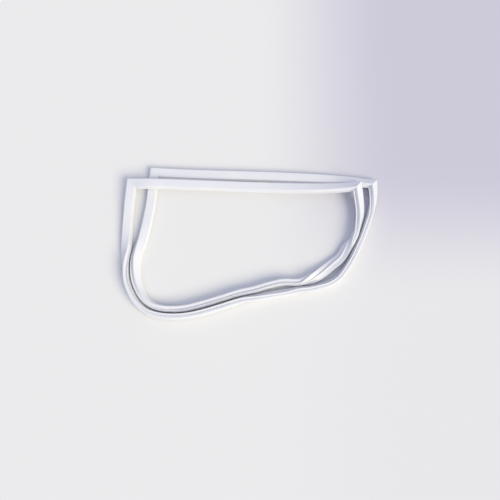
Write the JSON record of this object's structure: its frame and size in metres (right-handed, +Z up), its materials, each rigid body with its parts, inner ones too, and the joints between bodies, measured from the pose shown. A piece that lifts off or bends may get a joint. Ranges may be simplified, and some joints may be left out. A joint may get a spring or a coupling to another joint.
{
  "type": "refrigerator door gasket",
  "caption": "Magnetic refrigerator door seal: a welded ring of soft white PVC profile with flexible magnet strips sealed in its pocket, lying coiled in two turns",
  "frame": {"origin": "middle of the coil's outline, on the table it lies on", "axes": "+X along the short sides to the right, +Y from the free loop towards the two short sides, +Z up"},
  "size_m": [0.6346, 0.3832, 0.0444],
  "materials": {
    "soft_pvc": "satin",
    "magnet_rubber": "matte"
  },
  "bodies": {
    "root": {"seal_ring": "soft_pvc", "magnet_top": "magnet_rubber", "magnet_left": "magnet_rubber", "magnet_bottom": "magnet_rubber", "magnet_right": "magnet_rubber"}
  },
  "joints": []
}
